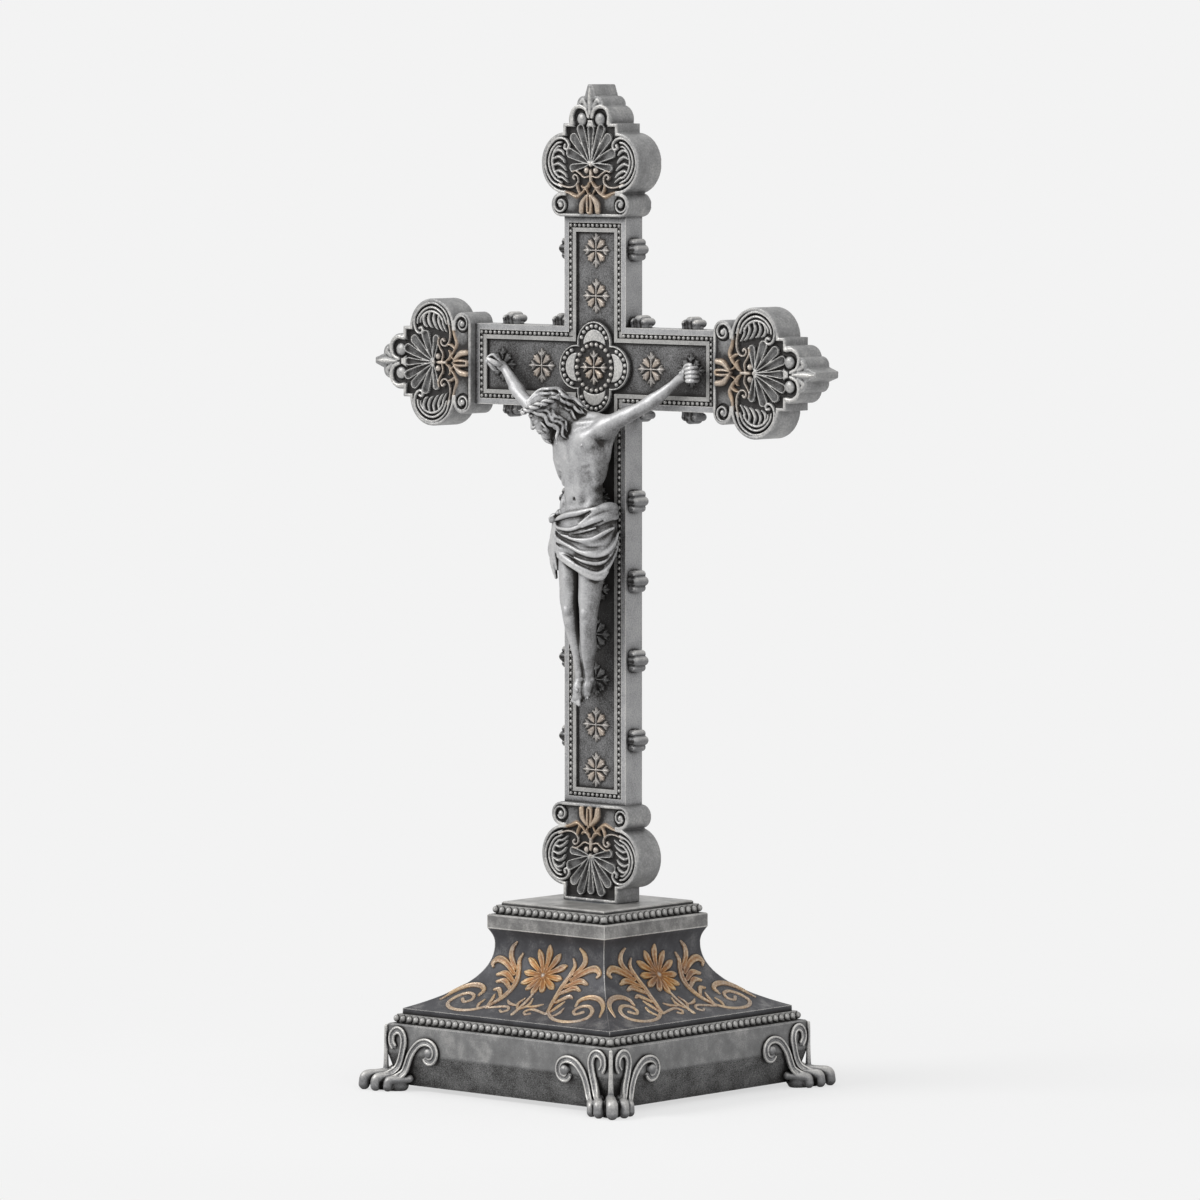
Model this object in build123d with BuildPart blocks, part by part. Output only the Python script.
from build123d import *
import os
from math import cos, pi, radians, sin, sqrt

# Stand: heights stack from the floor upwards, widths are half the square's side
floor_gap = 2.0
plinth_half_width = 59.4
skirt_height = 13.0
skirt_lean = 3.4
band_height = 11.6
plinth_step = 4.3
flare_foot_height = 5.8
flare_height = 32.1
flare_waist_half_width = 29.05
flare_waist_drop = 6.3
cap_half_width = 31.2
cap_height = 5.5
plate_half_width = 27.1
plate_height = 5.0
edge_break = 0.5

# Bead mouldings of the stand
stand_bead_radius = 1.4
stand_bead_pitch = 3.55
bead_strip_depth = 1.6
bead_strip_height = 3.6

# Floral reliefs on the flared body, laid on its four faces
relief_rise = 1.0
flower_height = 17.5
petal_count = 11
petal_length = 8.2
petal_width = 3.6
spray_reach = 27.0
scroll_radius = 4.6
scroll_reach = 30.0
scroll_height = 6.0
scroll_width = 1.6
leaf_count = 3
leaf_fan = 110.0

# Paw feet, measured from the plinth's corner along its faces and along the diagonal
paw_overhang = 8.8
paw_depth = 20.0
toe_width = 4.4
toe_height = 8.5
toe_round = 1.2
toe_step_back = 1.1
toe_step_down = 1.2
strap_width = 2.0
strap_rise = 2.0
volute_from_corner = 21.5
volute_radius = 4.4
volute_ball_radius = 2.5
hook_from_corner = 7.6
hook_radius = 3.6
strap_foot_height = 4.0
scroll_foot_from_corner = 11.4
hook_foot_from_corner = 6.6
hook_ball_radius = 1.6
corner_rib_radius = 1.9
pin_diameter = 3.0
paw_pin_length = 18.0
pin_clearance = 0.05

# Tenon, socket and the bolt that clamps the stand
tenon_width = 9.0
tenon_depth = 8.0
tenon_drop = 28.0
tenon_rise = 20.0
tenon_clearance = 0.15
sleeve_wall = 3.0
sleeve_floor = 8.0
sleeve_gap = 1.0
sleeve_flange = 3.0
flange_thickness = 2.0
bolt_diameter = 8.0
bolt_head_across = 13.0
bolt_head_height = 5.3
bolt_engagement = 7.0
bolt_clearance = 0.3
washer_diameter = 20.0
washer_thickness = 1.6
bolt_recess_depth = 9.0
recess_clearance = 1.0

# Cross: reaches run from its centre to the roundel line of each terminal
bar_width = 32.4
bar_thickness = 10.5
cross_back = 8.9
upper_reach = 64.6
arm_reach = 69.1
lower_reach = 178.7
outer_rail = 2.4
bead_groove = 2.0
inner_rail = 1.6
panel_sink = 1.1
frame_base = 0.5
cross_bead_radius = 0.8
cross_bead_pitch = 2.4

# Terminals, across and outward from the roundel line
terminal_thickness = 13.9
terminal_back_proud = 0.3
collar_inset = 4.8
roundel_across = 15.8
roundel_radius = 4.7
roundel_ball_radius = 2.9
lobe_across = 13.6
lobe_out = 16.4
lobe_radius = 12.15
shoulder_half_width = 14.3
shoulder_out = 32.2
foot_out = 34.3
tip_lobe_across = 5.6
tip_lobe_radius = 5.7
tip_lobe_lift = 1.6
crown_lobe_across = 3.4
crown_lobe_radius = 3.6
tip_out = 47.7
tip_radius = 2.8
terminal_rim = 1.8
terminal_sink = 1.8
terminal_pin_length = 20.0
palmette_hub_out = 15.5
palmette_hub_radius = 4.0
palmette_rise = 1.4
palmette_lengths = (14.6, 13.6, 12.0, 9.5)
palmette_spread = 25.0
palmette_petal_width = 4.6

# Ornaments on the cross
rosette_radius = 6.9
rosette_leaf_out = 4.6
rosette_leaf_across = 1.65
rosette_leaf_radius = 1.15
rosette_ray_length = 4.9
rosette_rise = 1.0
rosette_pitch = 18.1
rosette_first_drop = 33.8
rosette_first_lift = 28.4
arm_rosette_shares = (0.295, 0.59)
medallion_lobe_out = 9.5
medallion_lobe_radius = 9.0
medallion_thickness = 1.2
medallion_rim = 0.9
medallion_rim_rise = 0.9
medallion_bead_radius = 0.9
medallion_bead_pitch = 2.2
medallion_ring_radius = 9.2
inlay_rise = 0.6
inlay_gap = 0.4
crocket_length = 8.8
crocket_depth = 5.5
crocket_rise = 5.0
lower_crocket_count = 4
lower_crocket_rise = 30.7
arm_to_crocket = 36.6
upper_crocket_drop = 17.6
inner_arm_crocket = 4.6
outer_arm_crocket = 21.6

# Figure: sections as (height, across, forward, half width, half depth), from the cross centre and panel floor
torso_sections = (
    (-60.0, 0.6, 8.9, 11.0, 6.6),
    (-50.0, 0.0, 9.1, 9.4, 6.4),
    (-41.0, -0.3, 9.6, 12.0, 7.2),
    (-32.0, -0.3, 9.8, 13.8, 7.6),
    (-25.0, 0.0, 9.6, 13.4, 6.6),
    (-19.5, 0.0, 9.6, 7.5, 4.8),
)
cloth_sections = (
    (-83.5, 3.0, 9.6, 9.4, 6.8),
    (-76.0, 1.6, 9.4, 13.4, 7.6),
    (-66.0, 1.0, 9.2, 14.8, 7.8),
    (-57.0, 0.8, 9.2, 13.0, 7.2),
)
right_leg_sections = (
    (-78.0, -5.2, 9.2, 6.0, 6.0),
    (-88.0, -4.8, 11.0, 5.5, 5.5),
    (-98.0, -4.2, 12.2, 4.7, 4.7),
    (-108.0, -3.4, 10.4, 4.3, 4.3),
    (-118.0, -2.4, 8.2, 3.1, 3.1),
    (-126.0, -1.2, 7.6, 2.5, 2.5),
)
left_leg_sections = (
    (-78.0, 6.8, 9.0, 6.0, 6.0),
    (-88.0, 6.4, 10.8, 5.5, 5.5),
    (-98.0, 5.8, 12.0, 4.7, 4.7),
    (-108.0, 4.6, 10.2, 4.3, 4.3),
    (-118.0, 3.2, 8.0, 3.1, 3.1),
    (-126.0, 2.4, 7.4, 2.5, 2.5),
)
feet_sections = (
    (-122.0, 0.4, 7.6, 4.6, 2.9),
    (-128.0, 0.4, 9.2, 4.8, 3.4),
    (-133.0, 0.2, 11.4, 4.6, 2.4),
    (-134.5, 0.2, 12.0, 3.8, 1.6),
)
neck_sections = (
    (-24.0, 0.0, 9.8, 4.8, 4.6),
    (-18.0, -4.0, 13.0, 4.5, 4.5),
    (-13.5, -7.5, 15.5, 4.2, 4.2),
)
head_sections = (
    (-30.0, -16.0, 20.0, 1.8, 1.8),
    (-26.0, -15.0, 19.6, 4.2, 4.4),
    (-21.0, -13.0, 18.6, 6.2, 6.6),
    (-16.0, -11.2, 17.2, 7.2, 7.3),
    (-11.5, -9.8, 16.2, 6.2, 6.2),
    (-8.8, -9.2, 15.8, 3.0, 3.0),
)
# Hair: sections as (across, height, forward, half height, half depth)
hair_sections = (
    (-9.0, -16.0, 13.5, 6.4, 5.0),
    (-3.0, -17.6, 12.4, 5.4, 4.4),
    (4.0, -21.0, 12.4, 3.4, 2.8),
)
# Arms: the same, with the distance across as a share of the hand nail's
left_arm_sections = (
    (0.2, -25.0, 9.8, 5.2, 4.6),
    (0.34, -20.4, 10.0, 4.2, 3.9),
    (0.48, -16.4, 9.6, 3.6, 3.4),
    (0.62, -12.9, 8.6, 3.3, 3.0),
    (0.76, -8.8, 7.0, 2.9, 2.7),
    (0.88, -4.6, 5.4, 2.3, 2.0),
    (0.99, -1.0, 4.3, 3.2, 2.3),
    (1.1, 1.0, 3.7, 2.0, 1.4),
)
right_arm_sections = (
    (-0.2, -25.0, 9.8, 5.2, 4.6),
    (-0.34, -20.6, 10.4, 4.2, 3.9),
    (-0.48, -16.6, 10.6, 3.6, 3.4),
    (-0.62, -12.2, 9.8, 3.3, 3.0),
    (-0.76, -6.8, 7.6, 2.9, 2.7),
    (-0.88, -2.2, 5.4, 2.3, 2.0),
    (-0.99, 1.2, 4.3, 3.2, 2.3),
    (-1.1, 3.8, 3.7, 2.0, 1.4),
)
knot_place = (-15.4, -60.0, 12.0)
knot_radius = 2.4
tail_size = (3.4, 18.0, 3.2)
crown_place = (-10.4, -13.0, 16.6)
crown_tilt = (12.0, -24.0, 0.0)
crown_radius = 7.6
crown_thickness = 2.0
hand_nail_heights = (1.4, -0.9)
hand_nail_length = 14.0
hand_nail_head_forward = 7.4
foot_nail_height = -128.0
foot_nail_length = 19.0
foot_nail_head_forward = 13.6
nail_diameter = 1.6
nail_head_diameter = 3.2
nail_head_thickness = 0.8
nail_clearance = 0.05

# Places that follow from the sizes above
plinth_top = floor_gap + skirt_height + band_height
flare_foot_half_width = plinth_half_width - plinth_step
flare_foot_top = plinth_top + flare_foot_height
flare_top = flare_foot_top + flare_height
flare_waist_height = flare_top - flare_waist_drop
cap_top = flare_top + cap_height
seat_height = cap_top + plate_height
cross_height = seat_height + foot_out + lower_reach
cross_front = cross_back - bar_thickness
panel_floor = cross_front + panel_sink
bar_middle = cross_back - bar_thickness / 2
terminal_back = cross_back + terminal_back_proud
terminal_front = terminal_back - terminal_thickness
terminal_middle = terminal_back - terminal_thickness / 2
corner_diagonal = plinth_half_width * sqrt(2)
plinth_corner = (plinth_half_width, -plinth_half_width)
diagonal_plane = Plane(origin=(0, 0, 0), x_dir=(1, -1, 0), z_dir=(-1, -1, 0))
tenon_size = (tenon_width, tenon_depth)
socket_size = (tenon_width + 2 * tenon_clearance, tenon_depth + 2 * tenon_clearance)
sleeve_size = (socket_size[0] + 2 * sleeve_wall, socket_size[1] + 2 * sleeve_wall)
flange_size = (sleeve_size[0] + 2 * sleeve_flange, sleeve_size[1] + 2 * sleeve_flange)
sleeve_length = tenon_drop + sleeve_gap + sleeve_floor
sleeve_bottom = seat_height - sleeve_length
socket_centre = (0, terminal_middle)
bolt_seat = floor_gap + bolt_recess_depth
bolt_top = sleeve_bottom + bolt_engagement
frame_outer = bar_width / 2 - outer_rail
frame_bead_edge = frame_outer - bead_groove
frame_inner = frame_bead_edge - inner_rail
bead_line = frame_outer - bead_groove / 2
medallion_edge = medallion_lobe_out + medallion_lobe_radius
arm_panel_end = arm_reach - collar_inset - outer_rail - bead_groove - inner_rail
arm_spare = arm_panel_end - medallion_edge - 4 * rosette_radius
first_arm_rosette = medallion_edge + rosette_radius + arm_spare * arm_rosette_shares[0]
second_arm_rosette = first_arm_rosette + 2 * rosette_radius + arm_spare * arm_rosette_shares[1]
arm_rosettes = (first_arm_rosette, second_arm_rosette)
hand_nail_across = second_arm_rosette
lowest_crocket = lower_reach - lower_crocket_rise
highest_crocket = bar_width / 2 + arm_to_crocket
crocket_pitch = (lowest_crocket - highest_crocket) / (lower_crocket_count - 1)
upright_crocket_drops = [lowest_crocket - i * crocket_pitch for i in range(lower_crocket_count)]
upright_crocket_drops.append(upper_crocket_drop - upper_reach)
arm_crocket_reaches = (bar_width / 2 + inner_arm_crocket, arm_reach - outer_arm_crocket)

os.makedirs("parts", exist_ok=True)


def save(part, label):
    part.label = label
    export_step(part, f"parts/{label}.step")


def square_ring_points(half_width, pitch):
    # Bead centres along a square, one at each corner and evenly spaced between
    count = round(2 * half_width / pitch)
    steps = [-half_width + 2 * half_width * i / count for i in range(count)]
    sides = [[(s, -half_width), (half_width, s), (-s, half_width), (-half_width, -s)] for s in steps]
    return [point for side in sides for point in side]


def bead_moulding(inner_half_width, bottom):
    # Square strip with a row of beads standing out of its face
    face_half_width = inner_half_width + bead_strip_depth
    beads = square_ring_points(face_half_width, stand_bead_pitch)
    with BuildPart() as moulding:
        with BuildSketch(Plane.XY.offset(bottom)):
            Rectangle(2 * face_half_width, 2 * face_half_width)
            Rectangle(2 * inner_half_width, 2 * inner_half_width, mode=Mode.SUBTRACT)
        extrude(amount=bead_strip_height)
        with Locations(*[(x, y, bottom + bead_strip_height / 2) for x, y in beads]):
            Sphere(stand_bead_radius)
    return moulding.part


def stacked_loft(sections):
    # Rounded form through level ellipses, given from the cross centre and the panel floor
    with BuildPart(mode=Mode.PRIVATE) as form:
        for height, across, forward, half_width, half_depth in sections:
            with BuildSketch(Plane.XY.offset(cross_height + height)):
                with Locations((across, panel_floor - forward)):
                    Ellipse(half_width, half_depth)
        loft()
    return form.part


def sideways_loft(sections):
    # Rounded form through upright ellipses that follow one another along X
    with BuildPart(mode=Mode.PRIVATE) as form:
        for across, height, forward, half_height, half_depth in sections:
            with BuildSketch(Plane.YZ.offset(across)):
                with Locations((panel_floor - forward, cross_height + height)):
                    Ellipse(half_depth, half_height)
        loft()
    return form.part


def nail(across, height, head_forward, length, clearance):
    # Round nail driven straight back into the cross, or with a clearance the hole for it
    head_plane = Plane.XZ.offset(head_forward - panel_floor)
    with BuildPart(mode=Mode.PRIVATE) as pin:
        with BuildSketch(head_plane):
            with Locations((across, cross_height + height)):
                Circle(nail_diameter / 2 + clearance)
        extrude(amount=-length)
        with BuildSketch(head_plane):
            with Locations((across, cross_height + height)):
                Circle(nail_head_diameter / 2 + clearance)
        extrude(amount=nail_head_thickness)
    return pin.part


# Plinth block: upright band over a skirt that leans in, bored for the bolt and the foot pins
with BuildPart() as plinth_block:
    with BuildSketch(Plane.XY.offset(floor_gap)):
        Rectangle(2 * (plinth_half_width - skirt_lean), 2 * (plinth_half_width - skirt_lean))
    with BuildSketch(Plane.XY.offset(floor_gap + skirt_height)):
        Rectangle(2 * plinth_half_width, 2 * plinth_half_width)
    loft()
    with BuildSketch(Plane.XY.offset(floor_gap + skirt_height)):
        Rectangle(2 * plinth_half_width, 2 * plinth_half_width)
    extrude(amount=band_height)
    chamfer(plinth_block.faces().sort_by(Axis.Z)[-1].edges(), edge_break)
    with BuildSketch(Plane.XY.offset(floor_gap)):
        with Locations(socket_centre):
            Circle(washer_diameter / 2 + recess_clearance)
    extrude(amount=bolt_recess_depth, mode=Mode.SUBTRACT)
    with BuildSketch(Plane.XY.offset(floor_gap)):
        with Locations(socket_centre):
            Circle(bolt_diameter / 2 + bolt_clearance)
    extrude(amount=plinth_top - floor_gap, mode=Mode.SUBTRACT)

plain_plinth = plinth_block.part

# Dowels along the diagonals, half in each foot and half in the plinth
paw_pin_height = floor_gap + skirt_height / 4
paw_pin_start = corner_diagonal - skirt_lean * sqrt(2) - paw_pin_length / 2
diagonal_direction = (1, -1, 0)
paw_pin_plane = Plane(
    origin=(paw_pin_start / sqrt(2), -paw_pin_start / sqrt(2), paw_pin_height), z_dir=diagonal_direction
)
with BuildPart() as paw_pin:
    with BuildSketch(paw_pin_plane):
        Circle(pin_diameter / 2)
    extrude(amount=paw_pin_length)
with BuildPart() as paw_pin_hole:
    with BuildSketch(paw_pin_plane):
        Circle(pin_diameter / 2 + pin_clearance)
    extrude(amount=paw_pin_length)

corner_turns = {"front_right": 0, "back_right": 90, "back_left": 180, "front_left": 270}
with BuildPart() as paw_foot_pins:
    add([paw_pin.part.rotate(Axis.Z, turn) for turn in corner_turns.values()])
with BuildPart() as drilled_plinth:
    add(plain_plinth)
    add([paw_pin_hole.part.rotate(Axis.Z, turn) for turn in corner_turns.values()], mode=Mode.SUBTRACT)
save(drilled_plinth.part, "plinth_block")
save(paw_foot_pins.part, "paw_foot_pins")

# Paw foot at the front right corner: toes on the diagonal, straps on both faces, rib up the corner
face_plane = Plane.XZ.offset(plinth_half_width)
volute_height = plinth_top - edge_break - volute_radius - strap_width - strap_foot_height / 2
volute_centre = (plinth_half_width - volute_from_corner, volute_height)
hook_height = plinth_top - edge_break - hook_radius - strap_width
hook_centre = (plinth_half_width - hook_from_corner, hook_height)
with BuildPart() as face_straps:
    with BuildSketch(face_plane):
        with BuildLine():
            scroll = CenterArc(volute_centre, volute_radius, 90, 270)
            Spline(
                (plinth_half_width - scroll_foot_from_corner, strap_foot_height),
                scroll @ 0,
                tangents=[(-0.3, 1), (-1, 0)],
            )
        trace(line_width=strap_width)
        with Locations(volute_centre):
            Circle(volute_ball_radius)
    extrude(amount=strap_rise)
    with BuildSketch(face_plane):
        with Locations(volute_centre):
            Circle(volute_radius)
    extrude(amount=strap_rise / 3)
    with BuildSketch(face_plane):
        with BuildLine():
            hook = CenterArc(hook_centre, hook_radius, 180, -200)
            Line((plinth_half_width - hook_foot_from_corner, strap_foot_height), hook @ 0)
        trace(line_width=strap_width)
        with Locations(hook @ 1):
            Circle(hook_ball_radius)
    extrude(amount=strap_rise)
with BuildPart() as paw_foot:
    add(face_straps.part)
    mirror(face_straps.part, about=Plane(origin=(0, 0, 0), z_dir=(1, 1, 0)))
    with BuildSketch(Plane.XY.offset(strap_foot_height)):
        with Locations(plinth_corner):
            Circle(corner_rib_radius)
    extrude(amount=plinth_top - edge_break - strap_foot_height)
    for place in (0, 1, 2):
        tip = corner_diagonal + paw_overhang - toe_step_back * place * place
        top = toe_height - toe_step_down * place
        with BuildPart(mode=Mode.PRIVATE) as toe:
            with BuildSketch(diagonal_plane):
                with BuildLine():
                    heel = tip - paw_depth
                    Polyline((tip - top / 2, top), (heel, top), (heel, 0), (tip, 0), (tip, top / 2))
                    RadiusArc((tip, top / 2), (tip - top / 2, top), -top / 2)
                make_face()
            extrude(amount=toe_width / 2, both=True)
            fillet(toe.edges().group_by(Axis.Z)[-1], toe_round)
        side = Vector(1, 1, 0).normalized() * (place * toe_width)
        add(toe.part.translate(side))
        if place:
            add(toe.part.translate(side * -1))
    add(plain_plinth, mode=Mode.SUBTRACT)
    add(paw_pin_hole.part, mode=Mode.SUBTRACT)
for corner, turn in corner_turns.items():
    save(paw_foot.part.rotate(Axis.Z, turn), f"paw_foot_{corner}")

# Flared body: a square slab that sweeps in to a waist and out again under the cap
with BuildPart() as flared_body:
    for plane in (Plane.XZ, Plane.YZ):
        with BuildSketch(plane):
            with BuildLine():
                sweep_in = Spline(
                    (flare_foot_half_width, flare_foot_top),
                    (flare_waist_half_width, flare_waist_height),
                    tangents=[(-1, 0.38), (0, 1)],
                    tangent_scalars=[1.15, 1.1],
                )
                neck = Spline(
                    (flare_waist_half_width, flare_waist_height),
                    (cap_half_width, flare_top),
                    tangents=[(0, 1), (0.6, 1)],
                )
                Polyline(
                    neck @ 1,
                    (0, flare_top),
                    (0, plinth_top),
                    (flare_foot_half_width, plinth_top),
                    sweep_in @ 0,
                )
            make_face()
            mirror(about=Plane.YZ)
        if plane == Plane.XZ:
            extrude(amount=flare_foot_half_width, both=True)
        else:
            extrude(amount=flare_foot_half_width, both=True, mode=Mode.INTERSECT)
plain_flare = flared_body.part

# Relief skin: the flared body moved up and out a little, less the body itself
with BuildPart() as relief_skin:
    add(plain_flare.translate((0, -relief_rise, relief_rise)))
    add(plain_flare, mode=Mode.SUBTRACT)

flower_centre = (0, flare_foot_top + flower_height)
spray_root = (scroll_radius, flare_foot_top + scroll_width)
spray_bend = (spray_reach * 0.62, flare_foot_top + flower_height * 0.8)
spray_tip = (spray_reach * 0.8, flare_foot_top + flower_height * 1.5)
spray_leaves = (spray_reach * 0.72, flare_foot_top + flower_height)
scroll_turn_in = scroll_reach - 2.4 * scroll_radius
with BuildPart() as relief_outline:
    with BuildSketch(Plane.XZ.offset(flare_waist_half_width - relief_rise)):
        with Locations(flower_centre):
            Circle(petal_width)
            with PolarLocations(petal_length / 2 + petal_width / 2, petal_count, start_angle=90):
                Ellipse(petal_length / 2, petal_width / 2)
        with Locations((0, flare_foot_top + flower_height / 2)):
            Rectangle(scroll_width, flower_height)
        for side in (1, -1):
            with BuildLine():
                scroll_centre = (side * scroll_reach, flare_foot_top + scroll_height)
                curl = CenterArc(scroll_centre, scroll_radius, 90, -side * 280)
                Spline(
                    (0, flare_foot_top + scroll_width),
                    (side * scroll_turn_in, flare_foot_top + scroll_width),
                    curl @ 0,
                    tangents=[(side, 0), (side, 0)],
                )
            trace(line_width=scroll_width)
            with BuildLine():
                Spline(
                    (side * spray_root[0], spray_root[1]),
                    (side * spray_bend[0], spray_bend[1]),
                    (side * spray_tip[0], spray_tip[1]),
                )
            trace(line_width=2 * scroll_width)
            with Locations((side * spray_leaves[0], spray_leaves[1])):
                with PolarLocations(petal_length / 2, leaf_count, 90 - side * leaf_fan, side * leaf_fan):
                    Ellipse(petal_length / 2, petal_width / 2)
    extrude(amount=flare_foot_half_width)
with BuildPart() as floral_relief:
    add(relief_skin.part)
    add(relief_outline.part, mode=Mode.INTERSECT)
for turn, side in enumerate(("front", "right", "back", "left")):
    save(floral_relief.part.rotate(Axis.Z, 90 * turn), f"floral_relief_{side}")

# Cap, top plate and the sleeve that they hold
with BuildPart() as cap_block:
    with BuildSketch(Plane.XY.offset(flare_top)):
        Rectangle(2 * cap_half_width, 2 * cap_half_width)
    extrude(amount=cap_height)
    chamfer(cap_block.faces().sort_by(Axis.Z)[-1].edges(), edge_break)
with BuildPart() as top_plate:
    with BuildSketch(Plane.XY.offset(cap_top)):
        Rectangle(2 * plate_half_width, 2 * plate_half_width)
    extrude(amount=plate_height)
    chamfer(top_plate.faces().sort_by(Axis.Z)[-1].edges(), edge_break)

with BuildPart() as sleeve_body:
    with BuildSketch(Plane.XY.offset(sleeve_bottom)):
        with Locations(socket_centre):
            Rectangle(*sleeve_size)
    extrude(amount=sleeve_length)
    with BuildSketch(Plane.XY.offset(seat_height - flange_thickness)):
        with Locations(socket_centre):
            Rectangle(*flange_size)
    extrude(amount=flange_thickness)
with BuildPart() as socket_sleeve:
    add(sleeve_body.part)
    with BuildSketch(Plane.XY.offset(seat_height - tenon_drop - sleeve_gap)):
        with Locations(socket_centre):
            Rectangle(*socket_size)
    extrude(amount=tenon_drop + sleeve_gap, mode=Mode.SUBTRACT)
    with BuildSketch(Plane.XY.offset(sleeve_bottom)):
        with Locations(socket_centre):
            Circle(bolt_diameter / 2 + pin_clearance)
    extrude(amount=bolt_engagement, mode=Mode.SUBTRACT)
save(socket_sleeve.part, "socket_sleeve")

with BuildPart() as bolt_way:
    with BuildSketch(Plane.XY.offset(plinth_top)):
        with Locations(socket_centre):
            Circle(bolt_diameter / 2 + bolt_clearance)
    extrude(amount=sleeve_bottom - plinth_top)
for layer, label in ((flared_body, "flared_body"), (cap_block, "cap_block"), (top_plate, "top_plate")):
    with BuildPart() as bored_layer:
        add(layer.part)
        add([sleeve_body.part, bolt_way.part], mode=Mode.SUBTRACT)
    save(bored_layer.part, label)

with BuildPart() as tie_washer:
    with BuildSketch(Plane.XY.offset(bolt_seat - washer_thickness)):
        with Locations(socket_centre):
            Circle(washer_diameter / 2)
            Circle(bolt_diameter / 2 + bolt_clearance, mode=Mode.SUBTRACT)
    extrude(amount=washer_thickness)
with BuildPart() as tie_bolt:
    with BuildSketch(Plane.XY.offset(bolt_seat - washer_thickness - bolt_head_height)):
        with Locations(socket_centre):
            RegularPolygon(bolt_head_across / 2, 6, major_radius=False)
    extrude(amount=bolt_head_height)
    with BuildSketch(Plane.XY.offset(bolt_seat - washer_thickness)):
        with Locations(socket_centre):
            Circle(bolt_diameter / 2)
    extrude(amount=bolt_top - bolt_seat + washer_thickness)
save(tie_washer.part, "tie_washer")
save(tie_bolt.part, "tie_bolt")
save(bead_moulding(flare_foot_half_width, plinth_top), "plinth_bead_moulding")
save(bead_moulding(plate_half_width, cap_top), "cap_bead_moulding")

# Nails and the holes that they need
nail_places = (
    (-hand_nail_across, hand_nail_heights[0], hand_nail_head_forward, hand_nail_length),
    (hand_nail_across, hand_nail_heights[1], hand_nail_head_forward, hand_nail_length),
    (0, foot_nail_height, foot_nail_head_forward, foot_nail_length),
)
nails = [nail(*place, 0) for place in nail_places]
nail_holes = [nail(*place, nail_clearance) for place in nail_places]
with BuildPart() as hand_nails:
    add(nails[:2])
with BuildPart() as foot_nail:
    add(nails[2])
save(hand_nails.part, "hand_nails")
save(foot_nail.part, "foot_nail")

# Ends of the cross: direction, turn about the cross centre and reach of the roundel line
cross_ends = {
    "top": (0, upper_reach),
    "right": (90, arm_reach),
    "foot": (180, lower_reach),
    "left": (-90, arm_reach),
}


def at_cross_end(part, turn, reach):
    # Moves a piece made at the origin, pointing up, to one end of the cross
    centre = (reach * sin(radians(turn)), 0, cross_height + reach * cos(radians(turn)))
    return Location(centre, (0, turn, 0)) * part


def at_cross_centre(part, turn):
    return Location((0, 0, cross_height), (0, turn, 0)) * part


# Dowels between the core and its ends, lying across the joint
with BuildPart() as terminal_pin:
    with BuildSketch(Plane.XY.offset(-collar_inset - terminal_pin_length / 2)):
        with Locations((0, bar_middle)):
            Circle(pin_diameter / 2)
    extrude(amount=terminal_pin_length)
with BuildPart() as terminal_pin_hole:
    with BuildSketch(Plane.XY.offset(-collar_inset - terminal_pin_length / 2)):
        with Locations((0, bar_middle)):
            Circle(pin_diameter / 2 + pin_clearance)
    extrude(amount=terminal_pin_length)
with BuildPart() as terminal_pins:
    add([at_cross_end(terminal_pin.part, *end) for end in cross_ends.values()])
save(terminal_pins.part, "terminal_pins")

# Cross core: both bars in one, with the panels sunk inside the outer rail
arm_end = arm_reach - collar_inset
upright_top = cross_height + upper_reach - collar_inset
upright_bottom = cross_height - lower_reach + collar_inset
with BuildPart() as cross_core:
    for rail, plane_height, depth, mode in (
        (0, cross_back, bar_thickness, Mode.ADD),
        (outer_rail, panel_floor, panel_sink, Mode.SUBTRACT),
    ):
        with BuildSketch(Plane.XZ.offset(-plane_height)):
            with Locations((0, cross_height)):
                Rectangle(2 * (arm_end - rail), bar_width - 2 * rail)
            with Locations((0, (upright_top + upright_bottom) / 2)):
                Rectangle(bar_width - 2 * rail, upright_top - upright_bottom - 2 * rail)
        extrude(amount=depth, mode=mode)
    chamfer(cross_core.faces().sort_by(Axis.Y)[-1].edges(), edge_break)
    add([at_cross_end(terminal_pin_hole.part, *end) for end in cross_ends.values()], mode=Mode.SUBTRACT)
    add(nail_holes, mode=Mode.SUBTRACT)
save(cross_core.part, "cross_core")


def panel_frame(reach):
    # U-shaped frame for one bar, pointing up from the cross centre: inner rail, strip and beads
    outer_end = reach - collar_inset - outer_rail
    bead_end = outer_end - bead_groove / 2
    rail_end = outer_end - bead_groove
    inner_end = rail_end - inner_rail
    leg_count = int((bead_end - bead_line) / cross_bead_pitch)
    row_count = round(2 * bead_line / cross_bead_pitch)
    leg_steps = [bead_end - i * cross_bead_pitch for i in range(leg_count)]
    beads = [(side * bead_line, step) for step in leg_steps for side in (1, -1)]
    beads += [(-bead_line + 2 * bead_line * i / row_count, bead_end) for i in range(1, row_count)]
    with BuildPart() as frame:
        for edge, end, rise in (
            (frame_outer, outer_end, frame_base),
            (frame_bead_edge, rail_end, panel_sink),
        ):
            with BuildSketch(Plane.XZ.offset(-panel_floor)):
                Polygon(
                    (-edge, edge), (-edge, end), (edge, end), (edge, edge),
                    (frame_inner, frame_inner), (frame_inner, inner_end),
                    (-frame_inner, inner_end), (-frame_inner, frame_inner),
                    align=None,
                )
            extrude(amount=rise)
        with Locations(*[(u, panel_floor - cross_bead_radius, v) for u, v in beads]):
            Sphere(cross_bead_radius)
    return frame.part


for label, end in (("upper", "top"), ("right", "right"), ("lower", "foot"), ("left", "left")):
    turn, reach = cross_ends[end]
    save(at_cross_centre(panel_frame(reach), turn), f"panel_frame_{label}")


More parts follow.
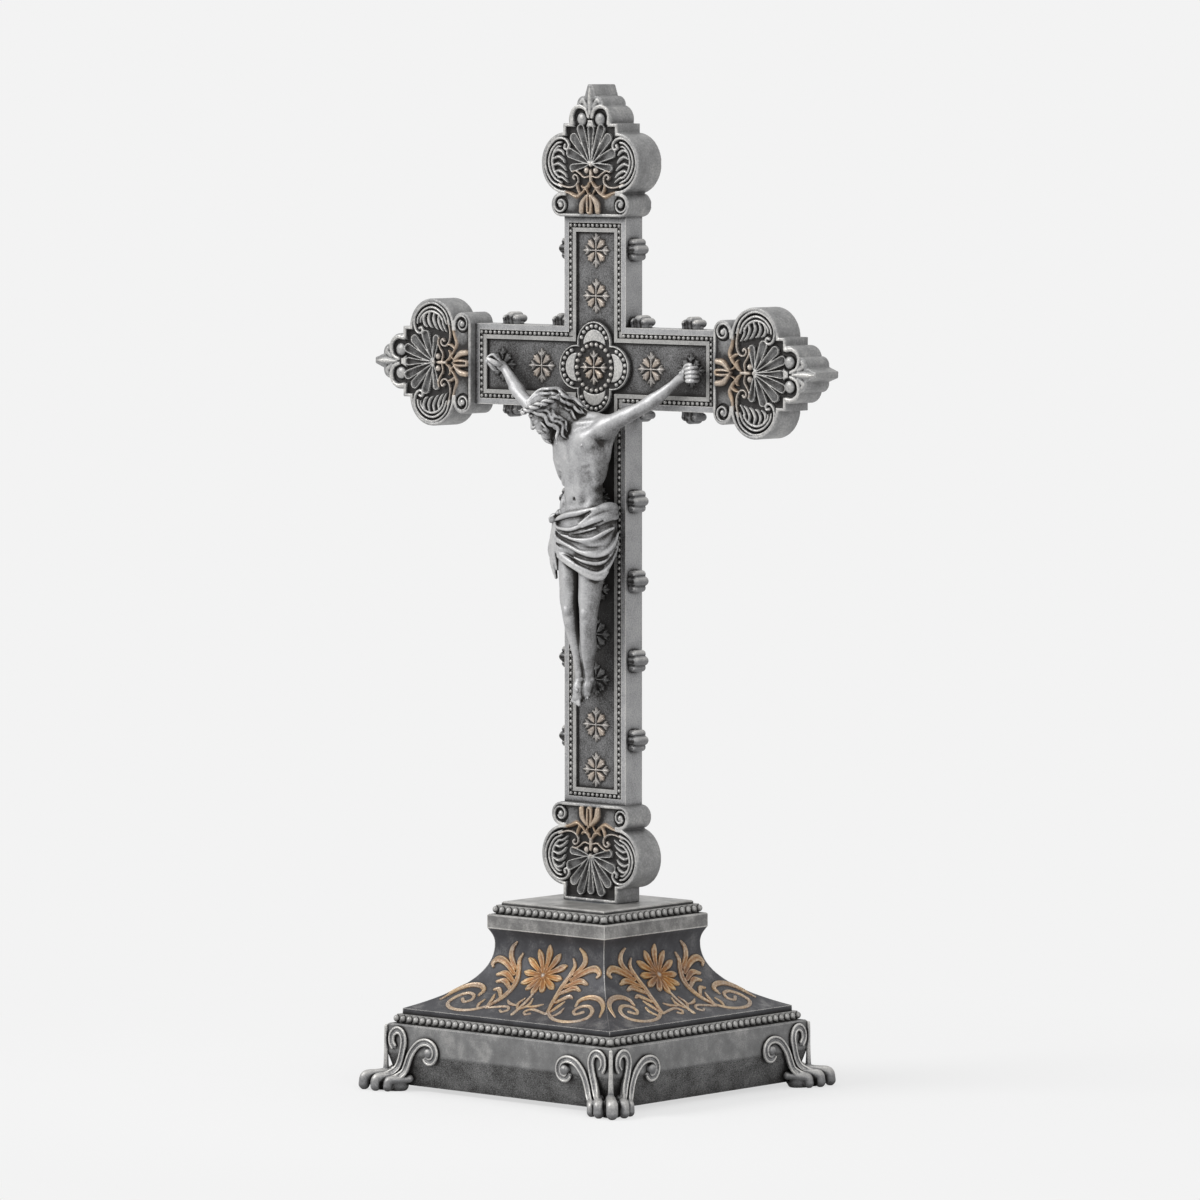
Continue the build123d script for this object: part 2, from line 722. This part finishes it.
def terminal(end_out, has_tip):
    # Leaf-shaped end, pointing up from its roundel line, with a sunk face inside a rim
    with BuildPart() as casting:
        for inset, plane_height, depth, mode in (
            (0, terminal_back, terminal_thickness, Mode.ADD),
            (terminal_rim, terminal_front + terminal_sink, terminal_sink, Mode.SUBTRACT),
        ):
            with BuildSketch(Plane.XZ.offset(-plane_height)):
                with Locations((-lobe_across, lobe_out), (lobe_across, lobe_out)):
                    Circle(lobe_radius - inset)
                with Locations((0, (lobe_out - lobe_radius + shoulder_out) / 2)):
                    field_height = shoulder_out - lobe_out + lobe_radius - 2 * inset
                    Rectangle(2 * (shoulder_half_width - inset), field_height)
                if mode == Mode.ADD:
                    with Locations((0, (shoulder_out - collar_inset) / 2)):
                        Rectangle(2 * shoulder_half_width, shoulder_out + collar_inset)
                    with Locations((0, (end_out + lobe_out) / 2)):
                        Rectangle(2 * shoulder_half_width, end_out - lobe_out)
                    Rectangle(bar_width, 2 * collar_inset)
                    with Locations((-roundel_across, 0), (roundel_across, 0)):
                        Circle(roundel_radius)
                    if has_tip:
                        with Locations((-tip_lobe_across, shoulder_out + tip_lobe_lift),
                                       (tip_lobe_across, shoulder_out + tip_lobe_lift)):
                            Circle(tip_lobe_radius)
                        crown_out = shoulder_out + tip_lobe_lift + tip_lobe_radius
                        with Locations((-crown_lobe_across, crown_out), (crown_lobe_across, crown_out)):
                            Circle(crown_lobe_radius)
                        with Locations((0, (crown_out + tip_out - tip_radius) / 2)):
                            SlotCenterToCenter(tip_out - tip_radius - crown_out, 2 * tip_radius, rotation=90)
            extrude(amount=depth, mode=mode)
        with Locations((-roundel_across, terminal_front, 0), (roundel_across, terminal_front, 0)):
            Sphere(roundel_ball_radius)
        add(terminal_pin_hole.part, mode=Mode.SUBTRACT)
    return casting.part


def palmette():
    # Fan of petals from a hub, lying on the terminal's sunk face
    with BuildPart() as fan:
        with BuildSketch(Plane.XZ.offset(-terminal_front - terminal_sink)):
            with Locations((0, palmette_hub_out)):
                Circle(palmette_hub_radius)
            for step, length in enumerate(palmette_lengths):
                for side in (1, -1):
                    lean = side * step * palmette_spread
                    across = sin(radians(lean)) * length / 2
                    out = palmette_hub_out + cos(radians(lean)) * length / 2
                    with Locations(Location((across, out, 0), (0, 0, -lean))):
                        Ellipse(palmette_petal_width / 2, length / 2)
        extrude(amount=palmette_rise)
    return fan.part


# Tenon under the foot terminal, held by a pin from front to back
with BuildPart() as foot_tenon:
    with BuildSketch(Plane.XY.offset(seat_height - tenon_drop)):
        with Locations(socket_centre):
            Rectangle(*tenon_size)
    extrude(amount=tenon_drop + tenon_rise)
    chamfer(foot_tenon.faces().sort_by(Axis.Z)[0].edges(), 2 * edge_break)
plain_tenon = foot_tenon.part
tenon_pin_height = seat_height + tenon_rise / 3
with BuildPart() as tenon_pin:
    with BuildSketch(Plane.XZ.offset(-terminal_back)):
        with Locations((0, tenon_pin_height)):
            Circle(pin_diameter / 2)
    extrude(amount=terminal_thickness - 2 * terminal_sink)
with BuildPart() as tenon_pin_hole:
    with BuildSketch(Plane.XZ.offset(-terminal_back)):
        with Locations((0, tenon_pin_height)):
            Circle(pin_diameter / 2 + pin_clearance)
    extrude(amount=terminal_thickness - 2 * terminal_sink)
with BuildPart() as drilled_tenon:
    add(plain_tenon)
    add(tenon_pin_hole.part, mode=Mode.SUBTRACT)
save(drilled_tenon.part, "foot_tenon")
save(tenon_pin.part, "tenon_pin")

for end, (turn, reach) in cross_ends.items():
    if end == "foot":
        with BuildPart() as foot_terminal:
            add(at_cross_end(terminal(foot_out, False), turn, reach))
            add([plain_tenon, tenon_pin_hole.part], mode=Mode.SUBTRACT)
        save(foot_terminal.part, f"terminal_{end}")
    else:
        save(at_cross_end(terminal(shoulder_out, True), turn, reach), f"terminal_{end}")
    save(at_cross_end(palmette(), turn, reach), f"palmette_{end}")

# Rosettes: a small cross with leafed arms, repeated along the panels
with BuildSketch() as rosette_outline:
    Circle(rosette_radius / 4)
    with PolarLocations(0, 4):
        with Locations((rosette_radius / 2, 0)):
            Rectangle(rosette_radius, rosette_radius / 4)
        with Locations((rosette_leaf_out, rosette_leaf_across), (rosette_leaf_out, -rosette_leaf_across)):
            Circle(rosette_leaf_radius)
    with PolarLocations(0, 4, start_angle=45):
        with Locations((rosette_ray_length / 2, 0)):
            Ellipse(rosette_ray_length / 2, rosette_leaf_radius)

lower_room = lower_reach - collar_inset - bar_width / 2 + frame_inner - rosette_radius - rosette_first_drop
lower_count = int(lower_room / rosette_pitch) + 1
upper_room = upper_reach - collar_inset - bar_width / 2 + frame_inner - rosette_radius - rosette_first_lift
upper_count = int(upper_room / rosette_pitch) + 1
rosette_places = [(0, cross_height + rosette_first_lift + i * rosette_pitch) for i in range(upper_count)]
rosette_places += [(side * reach, cross_height) for reach in arm_rosettes for side in (1, -1)]
rosette_places += [(0, cross_height - rosette_first_drop - i * rosette_pitch) for i in range(lower_count)]
with BuildPart() as field_rosettes:
    with BuildSketch(Plane.XZ.offset(-panel_floor)):
        with Locations(*rosette_places):
            add(rosette_outline.sketch)
    extrude(amount=rosette_rise)
    add(nail_holes, mode=Mode.SUBTRACT)
save(field_rosettes.part, "field_rosettes")

# Medallion over the crossing: lobed plate with rim and beads, four inlays and a rosette
lobe_places = [
    (medallion_lobe_out * across, medallion_lobe_out * up)
    for across, up in ((1, 0), (0, 1), (-1, 0), (0, -1))
]
medallion_front = panel_floor - medallion_thickness
medallion_bead_line = medallion_lobe_radius - medallion_rim - medallion_bead_radius - inlay_gap / 2
lobe_bead_count = round(medallion_bead_line * pi / medallion_bead_pitch)
ring_bead_count = round(medallion_ring_radius * 2 * pi / medallion_bead_pitch)
medallion_beads = [
    (x + medallion_bead_line * cos(radians(90 * lobe - 90 + 180 * i / lobe_bead_count)),
     z + medallion_bead_line * sin(radians(90 * lobe - 90 + 180 * i / lobe_bead_count)))
    for lobe, (x, z) in enumerate(lobe_places) for i in range(1, lobe_bead_count)
]
medallion_beads += [
    (medallion_ring_radius * cos(turn), medallion_ring_radius * sin(turn))
    for turn in [2 * pi * i / ring_bead_count for i in range(ring_bead_count)]
]
with BuildPart() as medallion_plate:
    with BuildSketch(Plane.XZ.offset(-panel_floor)):
        with Locations((0, cross_height)):
            with Locations(*lobe_places):
                Circle(medallion_lobe_radius)
            Circle(medallion_lobe_out)
    extrude(amount=medallion_thickness)
    with BuildSketch(Plane.XZ.offset(-medallion_front)):
        with Locations((0, cross_height)):
            with Locations(*lobe_places):
                Circle(medallion_lobe_radius)
            with Locations(*lobe_places):
                Circle(medallion_lobe_radius - medallion_rim, mode=Mode.SUBTRACT)
            Circle(medallion_lobe_out + medallion_rim, mode=Mode.SUBTRACT)
    extrude(amount=medallion_rim_rise)
    with Locations(*[(u, medallion_front, cross_height + v) for u, v in medallion_beads]):
        Sphere(medallion_bead_radius)
save(medallion_plate.part, "medallion_plate")

inlay_radius = medallion_bead_line - medallion_bead_radius - inlay_gap
with BuildPart() as medallion_inlays:
    with BuildSketch(Plane.XZ.offset(-medallion_front)):
        with Locations((0, cross_height)):
            with Locations(*lobe_places):
                Circle(inlay_radius)
            Circle(medallion_ring_radius + medallion_bead_radius + inlay_gap, mode=Mode.SUBTRACT)
    extrude(amount=inlay_rise)
save(medallion_inlays.part, "medallion_inlays")

with BuildPart() as medallion_rosette:
    with BuildSketch(Plane.XZ.offset(-medallion_front)):
        with Locations((0, cross_height)):
            add(rosette_outline.sketch)
    extrude(amount=rosette_rise)
save(medallion_rosette.part, "medallion_rosette")

# Crocket: three rolls side by side, made at the origin and pointing up
roll_radius = crocket_length / 5.6
roll_spacing = crocket_length / 2 - roll_radius
with BuildPart() as crocket:
    with BuildSketch(Plane.XZ.offset(-bar_middle - crocket_depth / 2)):
        with Locations((0, crocket_rise / 2 - roll_radius / 2)):
            Rectangle(2 * roll_radius, crocket_rise - roll_radius)
        with Locations((0, crocket_rise - roll_radius)):
            Circle(roll_radius)
        for side in (1, -1):
            with Locations((side * roll_spacing, crocket_rise / 3)):
                Rectangle(2 * roll_radius, crocket_rise * 2 / 3)
            with Locations((side * roll_spacing, crocket_rise * 2 / 3)):
                Circle(roll_radius)
    extrude(amount=crocket_depth)
edge_offset = bar_width / 2
with BuildPart() as upright_crockets:
    for drop in upright_crocket_drops:
        for side in (1, -1):
            add(Location((side * edge_offset, 0, cross_height - drop), (0, 90 * side, 0)) * crocket.part)
with BuildPart() as arm_crockets:
    for reach in arm_crocket_reaches:
        for side in (1, -1):
            add(Location((side * reach, 0, cross_height + edge_offset), (0, 0, 0)) * crocket.part)
            add(Location((side * reach, 0, cross_height - edge_offset), (0, 180, 0)) * crocket.part)
save(upright_crockets.part, "upright_crockets")
save(arm_crockets.part, "arm_crockets")

# Figure: body in one casting, arms joined at the shoulders, twisted band round the head
knot_centre = (knot_place[0], panel_floor - knot_place[2], cross_height + knot_place[1])
tail_centre = (knot_centre[0], knot_centre[1] + knot_radius, knot_centre[2] - tail_size[1] / 2)
body_forms = [
    stacked_loft(sections)
    for sections in (
        cloth_sections, right_leg_sections, left_leg_sections, feet_sections, neck_sections, head_sections
    )
]
with BuildPart() as corpus_body:
    add(stacked_loft(torso_sections))
    add(body_forms)
    add(sideways_loft(hair_sections))
    with Locations(knot_centre):
        Sphere(knot_radius)
    with Locations(tail_centre):
        Box(tail_size[0], tail_size[2], tail_size[1])
    add(nail_holes, mode=Mode.SUBTRACT)
save(corpus_body.part, "corpus_body")

arms = []
for side, sections in (("left", left_arm_sections), ("right", right_arm_sections)):
    with BuildPart() as corpus_arm:
        add(sideways_loft([(hand_nail_across * share, *rest) for share, *rest in sections]))
        add(corpus_body.part, mode=Mode.SUBTRACT)
        add(nail_holes, mode=Mode.SUBTRACT)
    arms.append(corpus_arm.part)
    save(corpus_arm.part, f"corpus_arm_{side}")

crown_centre = (crown_place[0], panel_floor - crown_place[2], cross_height + crown_place[1])
with BuildPart() as thorn_crown:
    with Locations(Location(crown_centre, crown_tilt)):
        Torus(crown_radius, crown_thickness / 2)
    add([corpus_body.part, *arms], mode=Mode.SUBTRACT)
save(thorn_crown.part, "thorn_crown")
